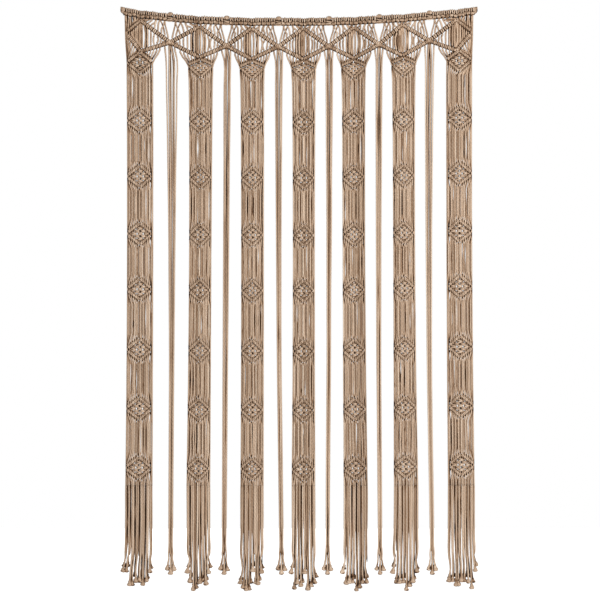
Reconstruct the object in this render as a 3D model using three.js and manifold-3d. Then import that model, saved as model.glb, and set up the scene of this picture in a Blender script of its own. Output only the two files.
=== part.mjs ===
// A macrame curtain of 4 mm twisted cotton cord, about 1.11 m wide and 1.81 m long.
// Seventy doubled cords are looped on a holding cord and divided into seven units. In each
// unit two rows of slanting hitches cross those of its neighbours, and sixteen cords go on
// as a column of eight knotted diamonds, down to a fringe. Four loose cords drop from each
// crossing. Millimetres, +Z up, +X to the right; the curtain faces -Y.
// The origin is on the heading's upper edge, midway between the top corners.

import * as THREE from 'three';
import Module from 'manifold-3d';
import { mergeVertices } from 'three/addons/utils/BufferGeometryUtils.js';

// ---------------------------------------------------------------- driving dimensions
const GAP = 0.3; // between pieces that touch
const CLOTH = 5; // thickness of one layer of hanging cord
const HALF_WIDTH = 555; // from the middle to either top corner
const CORNER_RISE = 35; // how far the corners stand above the middle
const LEFT_SAG_POWER = 3; // the left half hangs flat, then rises sharply
const RIGHT_SAG_POWER = 2; // the right half rises evenly
const BAND_HEIGHT = 29; // mounting row and hitch row together
const BAND_DEPTH = 13;
const BAR_RADIUS = 6; // a slanting row of hitches round its leading cord
const TOOTH_WIDTH = 9; // a pair of cords in the fringe
const KNOT_DEPTH = 10; // an end knot, front to back
const HEM = -1778; // the lowest end knot

// Depths below the heading's upper edge.
const UPPER_APEX = 38; // slanting rows start here, under the middle of each unit
const CROSSING = 90; // slanting rows of neighbouring units cross here
const EDGE_TURN = 74; // outermost slanting rows turn back here
const LOWER_APEX = 129; // slanting rows meet again here
const FIRST_TIPS = 148; // side tips of the first diamond, where the column starts
const FIRST_FOOT = 186; // bottom of the first diamond

const EDGE_TURN_X = 533; // distance of both turns from the middle
const DIAMOND_HALF_HEIGHT = 32;
const DIAMOND_RELIEF = 3.5; // how far a diamond stands out of its column
const COLUMN_END = -1450; // the fringe hangs free from here
const COMB_LENGTH = 215; // cords of the fringe lie side by side as far as this

// The seven units: place of the net's apexes, then place and width of the column at its top,
// half-way down and at the hem, and how much higher its diamonds sit than the common rows.
const UNITS = [
  { apex: -491, place: [-494, -493, -500], width: [84, 82, 88], lift: 3 },
  { apex: -309, place: [-304, -307, -316], width: [77, 70, 80], lift: 0 },
  { apex: -147, place: [-145, -144, -147], width: [75, 71, 75], lift: -1 },
  { apex: 13, place: [15, 15, 13], width: [75, 69, 80], lift: -2 },
  { apex: 170, place: [170, 171, 180], width: [74, 71, 80], lift: 1 },
  { apex: 320, place: [325, 327, 336], width: [74, 69, 84], lift: 6 },
  { apex: 488, place: [497, 498, 508], width: [82, 81, 87], lift: 12 },
];

// Heights of the second to the eighth diamond, common to all columns.
const ROWS = [-322, -495, -673, -845, -1032, -1215, -1398];

// The fringe of each unit: how far its outermost end knots hang to the left and right of its
// middle, and how high each of its eight end knots, from left to right, hangs above the hem.
const FRINGES = [
  { left: 52, right: 40, ends: [59, 58, 16, 26, 26, 17, 28, 56] },
  { left: 37, right: 38, ends: [55, 25, 1, 7, 23, 28, 18, 53] },
  { left: 38, right: 34, ends: [22, 7, 1, 2, 59, 22, 19, 54] },
  { left: 41, right: 40, ends: [53, 5, 22, 13, 53, 2, 13, 22] },
  { left: 42, right: 38, ends: [54, 20, 23, 24, 0, 8, 23, 23] },
  { left: 42, right: 37, ends: [54, 23, 23, 24, 1, 13, 25, 56] },
  { left: 40, right: 47, ends: [28, 28, 15, 28, 28, 24, 6, 60] },
];

// The six drops between the columns: place of the crossing that each hangs from, then its
// own place and width at its top, half-way down and at the hem.
const DROPS = [
  { crossing: -400, place: [-395, -394, -400], width: [44, 18, 17] },
  { crossing: -225, place: [-221, -227, -234], width: [25, 17, 15] },
  { crossing: -64, place: [-61, -62, -54], width: [28, 15, 17] },
  { crossing: 92, place: [93, 93, 87], width: [26, 14, 13] },
  { crossing: 248, place: [249, 247, 251], width: [23, 15, 14] },
  { crossing: 404, place: [406, 403, 414], width: [31, 17, 14] },
];

// The four end knots of a drop, from its middle, and their height above the hem.
const DROP_ENDS = [
  { x: -9, y: -1, above: 64 },
  { x: 9, y: -1, above: 62 },
  { x: 1, y: 8, above: 66 },
  { x: 0, y: -5.5, above: 51 },
];

const CORD_COLOUR = 0xab917b; // warm beige-brown cotton

// ---------------------------------------------------------------- shared functions
const wasm = await Module();
wasm.setup();

function mix(a, b, t) {
  return a + (b - a) * t;
}

// Height of the heading's upper edge.
function edgeHeight(x) {
  const power = x < 0 ? LEFT_SAG_POWER : RIGHT_SAG_POWER;
  return CORNER_RISE * Math.pow(Math.abs(x) / HALF_WIDTH, power);
}

// A value at a height, from its values at the top, half-way down and at the hem.
function along([top, middle, foot], z) {
  const t = z / HEM;
  return top * (1 - t) * (1 - 2 * t) + middle * 4 * t * (1 - t) + foot * t * (2 * t - 1);
}

// A closed solid through rings of equal point counts, with flat convex ends.
function loft(rings) {
  const count = rings[0].length;
  const positions = rings.flat(2);
  const index = [];
  for (let i = 0; i < rings.length - 1; i += 1) {
    for (let j = 0; j < count; j += 1) {
      const a = i * count + j;
      const b = i * count + ((j + 1) % count);
      index.push(a, a + count, b, b, a + count, b + count);
    }
  }
  const last = (rings.length - 1) * count;
  for (let j = 1; j < count - 1; j += 1) {
    index.push(0, j, j + 1);
    index.push(last, last + j + 1, last + j);
  }
  const geometry = new THREE.BufferGeometry();
  geometry.setAttribute('position', new THREE.Float32BufferAttribute(positions, 3));
  geometry.setIndex(index);
  geometry.computeVertexNormals();
  return geometry;
}

function toManifold(geometry) {
  const bare = geometry.clone();
  bare.deleteAttribute('normal');
  bare.deleteAttribute('uv');
  const merged = mergeVertices(bare, 1e-4);
  return new wasm.Manifold(
    new wasm.Mesh({
      numProp: 3,
      vertProperties: new Float32Array(merged.attributes.position.array),
      triVerts: new Uint32Array(merged.index.array),
    }),
  );
}

function union(geometries) {
  const joined = wasm.Manifold.union(geometries.map(toManifold));
  const mesh = joined.getMesh();
  const geometry = new THREE.BufferGeometry();
  geometry.setAttribute('position', new THREE.BufferAttribute(mesh.vertProperties, 3));
  geometry.setIndex(new THREE.BufferAttribute(mesh.triVerts, 1));
  geometry.computeVertexNormals();
  return geometry;
}

// A straight six-sided bar between two points given as [x, z], with flats above and below.
function bar(from, to, radius) {
  const slope = Math.atan2(to[1] - from[1], to[0] - from[0]);
  const ring = ([x, z]) =>
    Array.from({ length: 6 }, (_, i) => {
      const angle = ((i + 0.5) / 6) * 2 * Math.PI;
      const rise = radius * Math.cos(angle);
      return [x - rise * Math.sin(slope), radius * Math.sin(angle), z + rise * Math.cos(slope)];
    });
  return loft([ring(from), ring(to)]);
}

// A flat strap of cord between two points given as [x, z].
function strap(from, to, width) {
  const across = to[0] - from[0];
  const down = to[1] - from[1];
  const geometry = new THREE.BoxGeometry(width, CLOTH, Math.hypot(across, down));
  geometry.rotateY(Math.atan2(across, down));
  geometry.translate((from[0] + to[0]) / 2, 0, (from[1] + to[1]) / 2);
  return geometry;
}

// A plate facing front, cut to an outline of [x, z] points.
function plate(outline) {
  const shape = new THREE.Shape(outline.map(([x, z]) => new THREE.Vector2(x, z)));
  const geometry = new THREE.ExtrudeGeometry(shape, { depth: CLOTH, bevelEnabled: false });
  geometry.rotateX(Math.PI / 2);
  geometry.translate(0, CLOTH / 2, 0);
  return geometry;
}

// A level ring of `sides` points, anticlockwise from above.
function roundRing(x, y, z, radiusX, radiusY, sides) {
  return Array.from({ length: sides }, (_, i) => {
    const angle = (i / sides) * 2 * Math.PI;
    return [x + radiusX * Math.cos(angle), y + radiusY * Math.sin(angle), z];
  });
}

// A cord from `from` down to an overhand knot with its foot at `to`, both [x, y, z].
// The knot is narrow above and swells to a round foot.
function knottedCord(from, to, cordWidth) {
  const [x, y, z] = to;
  return loft([
    roundRing(from[0], from[1], from[2], cordWidth / 2, CLOTH / 2, 4),
    roundRing(x, y, z + 15, cordWidth / 2 - 1, CLOTH / 2, 4),
    roundRing(x, y, z + 4, 6.8, KNOT_DEPTH / 2, 4),
    roundRing(x, y, z, 4.4, 3.5, 4),
  ]);
}

// ---------------------------------------------------------------- heading
const HEADING_DIP = 2.5; // the edge is drawn down a little at each upper apex
const KNOT_HALF_WIDTH = 9.5;
const CORNER_ROLL = 11; // length of the pointed end of the band at each corner

// A section through the band: two rounded rows of hitches, one above the other.
function bandRing(x, top) {
  const half = BAND_DEPTH / 2;
  const waist = half - 1.5;
  const bottom = top - BAND_HEIGHT;
  return [
    [x, 0, top],
    [x, half, mix(top, bottom, 0.25)],
    [x, waist, mix(top, bottom, 0.5)],
    [x, half, mix(top, bottom, 0.75)],
    [x, 0, bottom],
    [x, -half, mix(top, bottom, 0.75)],
    [x, -waist, mix(top, bottom, 0.5)],
    [x, -half, mix(top, bottom, 0.25)],
  ];
}

function heading(unit, start, end) {
  const middle = unit.apex;
  const stations = [
    { x: start, dip: 0 },
    { x: mix(start, middle, 0.6), dip: 0 },
    { x: middle, dip: HEADING_DIP },
    { x: mix(middle, end, 0.4), dip: 0 },
    { x: end, dip: 0 },
  ];
  return loft(stations.map(({ x, dip }) => bandRing(x, edgeHeight(x) - dip)));
}

// The pointed roll where the band ends; side is -1 at the left corner and 1 at the right.
function cornerRoll(side) {
  const root = HALF_WIDTH - CORNER_ROLL;
  const stations = [
    { x: root + GAP, top: 1, bottom: 24, depth: 6 },
    { x: root + CORNER_ROLL * 0.6, top: 0, bottom: 15, depth: 5.5 },
    { x: HALF_WIDTH, top: 2, bottom: 8, depth: 3 },
  ];
  const rings = stations.map(({ x, top, bottom, depth }) => {
    const high = edgeHeight(side * x) - top;
    const low = edgeHeight(side * x) - bottom;
    const level = (high + low) / 2;
    return [
      [side * x, 0, high],
      [side * x, depth, level],
      [side * x, 0, low],
      [side * x, -depth, level],
    ];
  });
  return loft(side > 0 ? rings : rings.reverse());
}

function headingKnot(drop) {
  const x = drop.crossing;
  const top = edgeHeight(x);
  const levels = [
    { above: 4, radius: 3.5 },
    { above: -3, radius: 8 },
    { above: -20, radius: KNOT_HALF_WIDTH },
    { above: -28, radius: 5.5 },
  ];
  const rings = levels.map(({ above, radius }) =>
    roundRing(x, 0, top + above, radius, radius * 0.85, 6),
  );
  return loft(rings);
}

// ---------------------------------------------------------------- net
const CROSSING_CLEARANCE = 10; // slanting rows stop this far from a crossing's middle
const KNOT_CLEARANCE = 16; // the net's outermost cords start this far from a heading knot
const NET_RIB = 13; // a group of cords in the net
const EDGE_RIB = 8; // the two outermost cords of the curtain
const RIB_CLEARANCE = 1.8; // below the band, so that the corner of a leaning rib clears it
const UPPER_RIBS = [0.36, 0.64, 0.92]; // shares of the way from apex to crossing
const MIDDLE_RIBS = [0.12, 0.4, 0.68];
const FUNNEL_START = 0.78; // cords leave the lower rows from here inward

// The corner points of one side of a unit's net; side is -1 for left and 1 for right.
function netSide(unit, side, neighbour) {
  const apexTop = edgeHeight(unit.apex);
  const upper = [unit.apex, apexTop - UPPER_APEX];
  const lower = [unit.apex, apexTop - LOWER_APEX];
  if (!neighbour) {
    const turn = [side * EDGE_TURN_X, edgeHeight(side * EDGE_TURN_X) - EDGE_TURN];
    return { upper, lower, upperEnd: turn, lowerEnd: turn, bandEnd: side * (EDGE_TURN_X + 8) };
  }
  const crossing = [neighbour.crossing, edgeHeight(neighbour.crossing) - CROSSING];
  const share = 1 - CROSSING_CLEARANCE / Math.abs(crossing[0] - unit.apex);
  const bandEnd = crossing[0] - side * KNOT_CLEARANCE;
  return {
    upper,
    lower,
    upperEnd: pointBetween(upper, crossing, share),
    lowerEnd: pointBetween(lower, crossing, share),
    bandEnd,
  };
}

function pointBetween(a, b, share) {
  return [mix(a[0], b[0], share), mix(a[1], b[1], share)];
}

function net(unit, leftDrop, rightDrop) {
  const pieces = [];
  const sides = [netSide(unit, -1, leftDrop), netSide(unit, 1, rightDrop)];
  const tipHeight = edgeHeight(unit.apex) - FIRST_TIPS;
  const halfColumn = along(unit.width, tipHeight) / 2;
  const columnX = along(unit.place, tipHeight);

  for (const points of sides) {
    pieces.push(bar(points.upper, points.upperEnd, BAR_RADIUS));
    pieces.push(bar(points.lower, points.lowerEnd, BAR_RADIUS));
    for (const share of UPPER_RIBS) {
      const x = mix(unit.apex, points.bandEnd, share);
      const head = [x, edgeHeight(x) - BAND_HEIGHT - HEADING_DIP - RIB_CLEARANCE];
      pieces.push(strap(head, pointBetween(points.upper, points.upperEnd, share), NET_RIB));
    }
    for (const share of MIDDLE_RIBS) {
      const head = pointBetween(points.upper, points.upperEnd, share);
      pieces.push(strap(head, pointBetween(points.lower, points.lowerEnd, share), NET_RIB));
    }
  }
  const [left, right] = sides.map(({ lower, lowerEnd }) => pointBetween(lower, lowerEnd, FUNNEL_START));
  const tips = [
    [columnX - halfColumn, tipHeight],
    [columnX + halfColumn, tipHeight],
  ];
  pieces.push(plate([tips[0], tips[1], right, sides[0].lower, left]));
  if (!leftDrop || !rightDrop) {
    const side = leftDrop ? 1 : -1;
    const x = side * (HALF_WIDTH - CORNER_ROLL - EDGE_RIB / 2);
    const head = [x, edgeHeight(x) - BAND_HEIGHT - RIB_CLEARANCE];
    const foot = [columnX + side * (halfColumn - EDGE_RIB / 2), tipHeight + 1];
    pieces.push(strap(head, foot, EDGE_RIB));
  }
  return union(pieces);
}

// ---------------------------------------------------------------- columns
// A level section of a column. `spread` places the ridges of a diamond, as a share of the
// half width, and `relief` lifts them.
function columnRing(unit, z, width, spread, relief) {
  const x = along(unit.place, z);
  const half = width / 2;
  const face = CLOTH / 2;
  return [
    [x - half, -face, z],
    [x - half * spread, -face - relief, z],
    [x, -face - relief, z],
    [x + half * spread, -face - relief, z],
    [x + half, -face, z],
    [x + half, face, z],
    [x, face + relief, z],
    [x - half, face, z],
  ];
}

function column(unit) {
  const start = edgeHeight(unit.apex) - FIRST_TIPS - GAP;
  const tips = (z) => columnRing(unit, z, along(unit.width, z), 0.84, DIAMOND_RELIEF);
  const point = (z) => columnRing(unit, z, along(unit.width, z), 0.1, 0.2);
  const rings = [tips(start), point(start - FIRST_FOOT + FIRST_TIPS)];
  for (const row of ROWS) {
    const centre = row + unit.lift;
    rings.push(point(centre + DIAMOND_HALF_HEIGHT), tips(centre), point(centre - DIAMOND_HALF_HEIGHT));
  }
  rings.push(point(COLUMN_END));
  return loft(rings);
}

// ---------------------------------------------------------------- fringe
const COMB_THICKNESS = 6;
const KNOT_LAYER = 5.3; // end knots hang this far before and behind the middle

function combRing(unit, z) {
  const x = along(unit.place, z);
  const half = along(unit.width, z) / 2;
  const face = COMB_THICKNESS / 2;
  return [
    [x - half, -face, z],
    [x + half, -face, z],
    [x + half, face, z],
    [x - half, face, z],
  ];
}

function fringe(unit, { left, right, ends }) {
  const start = COLUMN_END - GAP;
  const combEnd = start - COMB_LENGTH;
  const combHalf = (along(unit.width, combEnd) - TOOTH_WIDTH) / 2;
  const pieces = [loft([combRing(unit, start), combRing(unit, combEnd)])];
  ends.forEach((above, i) => {
    const share = i / (ends.length - 1);
    const layer = i % 2 === 0 ? KNOT_LAYER : -KNOT_LAYER;
    const top = [along(unit.place, combEnd) + mix(-combHalf, combHalf, share), 0, combEnd + 2];
    const foot = [along(unit.place, HEM) + mix(-left, right, share), layer, HEM + above];
    pieces.push(knottedCord(top, foot, TOOTH_WIDTH));
  });
  return union(pieces);
}

// ---------------------------------------------------------------- drops
const DROP_END = -1688; // where the four cords of a drop part
const DROP_DEPTH = 8;

// A crossing of two slanting rows, and the four loose cords that hang from it.
function drop(strip) {
  const crossing = edgeHeight(strip.crossing) - CROSSING;
  const head = [
    { z: crossing + 11, width: 5, depth: 9 },
    { z: crossing, width: 15, depth: 13 },
    { z: crossing - 10, width: 9, depth: 11 },
  ].map(({ z, width, depth }) => roundRing(strip.crossing, 0, z, width / 2, depth / 2, 6));
  const cords = [crossing - 19, -320, -650, -1050, DROP_END].map((z) =>
    roundRing(along(strip.place, z), 0, z, along(strip.width, z) / 2, DROP_DEPTH / 2, 6),
  );
  const pieces = [loft([...head, ...cords])];
  for (const { x, y, above } of DROP_ENDS) {
    const foot = HEM + above;
    const parting = [along(strip.place, DROP_END) + x * 0.4, y * 0.4, DROP_END + 4];
    pieces.push(knottedCord(parting, [along(strip.place, foot) + x, y, foot], CLOTH));
  }
  return union(pieces);
}

// ---------------------------------------------------------------- the curtain
const curtain = new THREE.Group();

function add(name, geometry) {
  const cotton = new THREE.MeshStandardMaterial({
    color: CORD_COLOUR,
    roughness: 0.95,
    metalness: 0,
  });
  const mesh = new THREE.Mesh(geometry, cotton);
  mesh.name = name;
  curtain.add(mesh);
}

UNITS.forEach((unit, i) => {
  const number = i + 1;
  const leftDrop = DROPS[i - 1];
  const rightDrop = DROPS[i];
  const clear = KNOT_HALF_WIDTH + GAP;
  const start = leftDrop ? leftDrop.crossing + clear : CORNER_ROLL - HALF_WIDTH;
  const end = rightDrop ? rightDrop.crossing - clear : HALF_WIDTH - CORNER_ROLL;
  add(`heading_${number}`, heading(unit, start, end));
  add(`net_${number}`, net(unit, leftDrop, rightDrop));
  add(`column_${number}`, column(unit));
  add(`fringe_${number}`, fringe(unit, FRINGES[i]));
});

DROPS.forEach((strip, i) => {
  const number = i + 1;
  add(`heading_knot_${number}`, headingKnot(strip));
  add(`drop_${number}`, drop(strip));
});

add('corner_roll_left', cornerRoll(-1));
add('corner_roll_right', cornerRoll(1));

export default curtain;
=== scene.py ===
"""A macrame curtain of 5 mm twisted cotton cord, seen from the front against white.

Every cord is followed from the holding cord to its end knot: over the mounting row and the
hitch row, through the crossed slanting rows of its unit's net, and down its column of knotted
diamonds, or down the loose drop between two columns. Sizes are in millimetres until a mesh is
made, and the curtain faces -Y."""

import math

import bpy
import numpy as np
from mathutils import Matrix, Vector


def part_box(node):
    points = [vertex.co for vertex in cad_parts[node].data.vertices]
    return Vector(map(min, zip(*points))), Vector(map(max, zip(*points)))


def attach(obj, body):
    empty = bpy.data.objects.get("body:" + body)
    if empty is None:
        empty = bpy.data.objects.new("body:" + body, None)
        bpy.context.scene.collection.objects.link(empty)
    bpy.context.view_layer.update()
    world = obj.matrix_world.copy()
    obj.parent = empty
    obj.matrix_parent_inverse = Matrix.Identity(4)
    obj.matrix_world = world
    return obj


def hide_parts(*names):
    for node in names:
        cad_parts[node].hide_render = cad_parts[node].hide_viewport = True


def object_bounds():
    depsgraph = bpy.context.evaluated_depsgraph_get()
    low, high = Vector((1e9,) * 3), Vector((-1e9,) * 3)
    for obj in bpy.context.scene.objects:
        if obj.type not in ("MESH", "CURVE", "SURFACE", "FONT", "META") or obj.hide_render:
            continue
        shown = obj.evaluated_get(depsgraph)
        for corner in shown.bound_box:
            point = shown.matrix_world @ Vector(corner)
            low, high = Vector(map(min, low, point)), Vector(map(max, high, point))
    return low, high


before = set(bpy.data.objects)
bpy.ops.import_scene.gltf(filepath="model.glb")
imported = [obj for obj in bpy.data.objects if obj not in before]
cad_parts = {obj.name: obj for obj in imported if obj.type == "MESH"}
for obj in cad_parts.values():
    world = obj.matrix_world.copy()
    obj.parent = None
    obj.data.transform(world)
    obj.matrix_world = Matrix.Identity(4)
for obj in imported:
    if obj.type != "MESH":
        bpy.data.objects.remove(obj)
CAD_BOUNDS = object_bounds()

MM = 0.001
SEED = 11

# ---- sizes
CORD = 4.9  # diameter of a hanging cord
FREE = CORD / 2
TIGHT = 2.1  # a cord's radius where a knot squeezes it
SIDES = 7  # round each cord
PLY_PITCH = 13.0  # length of one turn of the cord's three plies

HALF_WIDTH = 555  # from the heading's middle to a corner
CORNER_RISE = 35  # of a corner above the heading's middle
LEFT_SAG_POWER = 3  # how suddenly the heading rises to its left corner
RIGHT_SAG_POWER = 2
BAND_HEIGHT = 29
HITCH_ROW = 18.5  # depth of the band's row of hitches below its upper edge

# Depths of the net's turning points below the heading's upper edge.
UPPER_APEX = 33.5  # where a unit's upper bars start
CROSSING = 90  # where the bars of two units cross
EDGE_TURN = 78  # where the outermost bars turn back, at EDGE_TURN_X from the middle
EDGE_TURN_X = 531
LOWER_APEX = 129  # where the lower bars end
COLUMN_END = -1450  # height where the fringe starts
HEM = -1778  # height of the lowest end knot

# The first diamond is a kite: depths below the heading's upper edge of its top, of the ends
# of its upper and lower bars, and of its foot, in the outer units and the others.
FIRST_LEFT = (132, 160, 170, 195)
FIRST = (136, 151, 161, 188)
FIRST_RIGHT = (130, 156, 165, 191)
FIRST_UPPER_REACH = 36.5  # greatest half width between its tips
FIRST_LOWER_REACH = 31
FLARE = {-1: 3.0, 1: 1.5}  # how much wider than its solid a column starts
FLARE_DEPTH = 70  # how soon that fades

INNER = 6  # cords on each side of a diamond that go into its lattice
HITCHED = 5  # of these, the ones hitched on its bars
SIDE_CORDS = 7  # cords of a column on each side of its two leading cords
UNIT_CORDS = 20

APEXES = (-491, -309, -147, 13, 170, 320, 488)  # middle of each unit's net

# The fringe of each unit: how far its outermost end knots hang to the left and right of its
# middle, and the height above the hem of eight end knots, from left to right. The end knots
# between them hang behind, each a little higher.
FRINGES = (
    (52, 40, (59, 58, 16, 26, 26, 17, 28, 56)),
    (37, 38, (55, 25, 1, 7, 23, 28, 18, 53)),
    (38, 34, (22, 7, 1, 2, 59, 22, 19, 54)),
    (41, 40, (53, 5, 22, 13, 53, 2, 13, 22)),
    (42, 38, (54, 20, 23, 24, 0, 8, 23, 23)),
    (42, 37, (54, 23, 23, 24, 1, 13, 25, 56)),
    (40, 47, (28, 28, 15, 28, 28, 24, 6, 60)),
)

DROP_FORK = -1685  # height where a drop's four cords part

# A drop's four end knots: across and in depth from its middle, and height above the hem.
DROP_ENDS = ((-11.2, -1, 64), (1, 8, 66), (0, -5.5, 51), (11.2, -1, 62))

chance = np.random.default_rng(SEED)


def mix(a, b, share):
    return a + (b - a) * share


def edge_height(x):
    """Height of the heading's upper edge."""
    power = LEFT_SAG_POWER if x < 0 else RIGHT_SAG_POWER
    return CORNER_RISE * (abs(x) / HALF_WIDTH) ** power


def levels(node):
    """A strip's solid, read level by level from the top: height, left, right and depth."""
    points = np.array([v.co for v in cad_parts[node].data.vertices]) / MM
    heights = np.round(points[:, 2], 1)
    rows = []
    for height in sorted(set(heights), reverse=True):
        ring = points[heights == height]
        rows.append((height, ring[:, 0].min(), ring[:, 0].max(), np.abs(ring[:, 1]).max()))
    return np.array(rows)


def sides_at(strip, z):
    """A strip's left and right at a height."""
    return (np.interp(-z, -strip[:, 0], strip[:, column]) for column in (1, 2))


def side_by_side(left, right, count):
    """Where cords lie that fill a width."""
    return left + FREE + np.arange(count) / (count - 1) * (right - left - CORD)


def walk(points):
    """How far along a course each of its points lies."""
    return np.concatenate([[0], np.cumsum(np.linalg.norm(np.diff(points, axis=0), axis=1))])


def directions(ways):
    return ways / np.maximum(np.linalg.norm(ways, axis=1), 1e-9)[:, None]


# ---- cords and meshes
# Tones run from 0, nearly black, to 1, the palest cotton.
SHADE_TONE = 0.03  # of the dark cords inside bars and band, near black: painted shade
DARK = 0.12  # of a few of the cords that show, darker as if in deep shade: painted shade
SHADED = 0.06  # share of the cords that are DARK
SHOWN = (0.15, 1.0)  # of the rest
BEHIND_SHADED_TONES = (DARK, 0.5)  # of cords behind others in nets and drops, darker than the rest: painted shade
BACKING_SHADED_TONES = (DARK, 0.4)  # of cords behind others in columns and fringes, darker than the rest: painted shade


class Cord:
    """The course of one cord: points, the steps that lead to each, and its radius there."""

    def __init__(self, tone=None, tones=None):
        self.points, self.steps, self.radii = [], [], []
        drawn = chance.uniform(*SHOWN) if chance.random() > SHADED else DARK
        self.tone = chance.uniform(*tones) if tones else drawn if tone is None else tone

    def to(self, x, y, z, steps=1, radius=FREE):
        self.points.append((x, y, z))
        self.steps.append(steps)
        self.radii.append(radius)

    def cut(self):
        """A new cord that goes on from this one's last point."""
        rest = Cord(self.tone)
        rest.to(*self.points[-1], radius=self.radii[-1])
        return rest

    def course(self):
        """Points and radii along a smooth course through the cord's points."""
        p = np.array(self.points)
        gap = np.diff(p, axis=0)
        length = np.linalg.norm(gap, axis=1)
        unit = directions(gap)
        tangent = directions(np.vstack([unit[:1], unit[:-1] + unit[1:], unit[-1:]]))
        places, radii = [p[:1]], [self.radii[:1]]
        for i, steps in enumerate(self.steps[1:]):
            if steps == 1:
                places.append(p[i + 1 : i + 2])
                radii.append(self.radii[i + 1 : i + 2])
                continue
            s = (np.arange(1, steps + 1) / steps)[:, None]
            pull_a, pull_b = length[i] * tangent[i], length[i] * tangent[i + 1]
            straight = mix(p[i], p[i + 1], 3 * s**2 - 2 * s**3)
            places.append(straight + (s**3 - 2 * s**2 + s) * pull_a + (s**3 - s**2) * pull_b)
            radii.append(mix(self.radii[i], self.radii[i + 1], s[:, 0]))
        return np.vstack(places), np.concatenate(radii)


def cross_frames(points):
    """Two directions across the course at each point, turned as little as possible."""
    tangent = directions(np.gradient(points, axis=0))
    first = np.empty_like(points)
    axis = (0.0, 1.0, 0.0) if abs(tangent[0][1]) < 0.8 else (1.0, 0.0, 0.0)
    nx, ny, nz = axis
    for i, (tx, ty, tz) in enumerate(tangent.tolist()):
        dot = nx * tx + ny * ty + nz * tz
        nx, ny, nz = nx - dot * tx, ny - dot * ty, nz - dot * tz
        size = math.sqrt(nx * nx + ny * ny + nz * nz) or 1.0
        nx, ny, nz = nx / size, ny / size, nz / size
        first[i] = (nx, ny, nz)
    return first, np.cross(tangent, first)


# Painted shade: how dark the crevices between cords are painted, standing in for the shade that
# falls there. All of it is the same for both faces of the curtain.
VOXEL = 1.5  # grain of the measure
CROWDED = 0.055  # cords' middles per cell inside a knot
FACED = ((1.6, 1.0), (3.2, 0.5))  # cells out from a surface, and weight of the crowd there
SUNK_SHADE = 0.24  # painted shade on the curtain's middle plane, against what stands out from it
STANDING = 5.0  # as far as this
LIT = 0.5  # how much less a crowd darkens what stands out and faces out
LIT_FROM = 2.5  # as far as this
# Painted shade laid deeper over the dense heading and net, and the fringe: height and amount.
GLOOM = (
    (HEM, 0.3), (-1690, 0.2), (-1600, 0.1), (-1480, 0.05), (-1400, 0),
    (-220, 0), (-150, 0.08), (-120, 0.28), (-30, 0.28), (0, 0.22),
)
GLOOM_DEEPENS = 3.0  # how much darker it makes crevices
GLOOM_COVERS = 0.6  # and all else


def placed(name, data, location=(0, 0, 0), rotation=(0, 0, 0)):
    """A new object in the scene."""
    thing = bpy.data.objects.new(name, data)
    bpy.context.scene.collection.objects.link(thing)
    thing.location, thing.rotation_euler = location, rotation
    return thing


def resampled(points, step):
    """The same course with its points step apart."""
    walked = walk(points)
    places = np.arange(0, walked[-1] + step, step)
    return np.column_stack([np.interp(places, walked, points[:, c]) for c in range(3)])


def lengthened(points, reach=4 * VOXEL):
    """The course carried straight on past both its ends, as the next piece's cords do."""
    before, after = points[0] - points[1], points[-1] - points[-2]
    before, after = (way / max(np.linalg.norm(way), 1e-6) * reach for way in (before, after))
    return np.vstack([points[0] + before, points, points[-1] + after])


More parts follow.
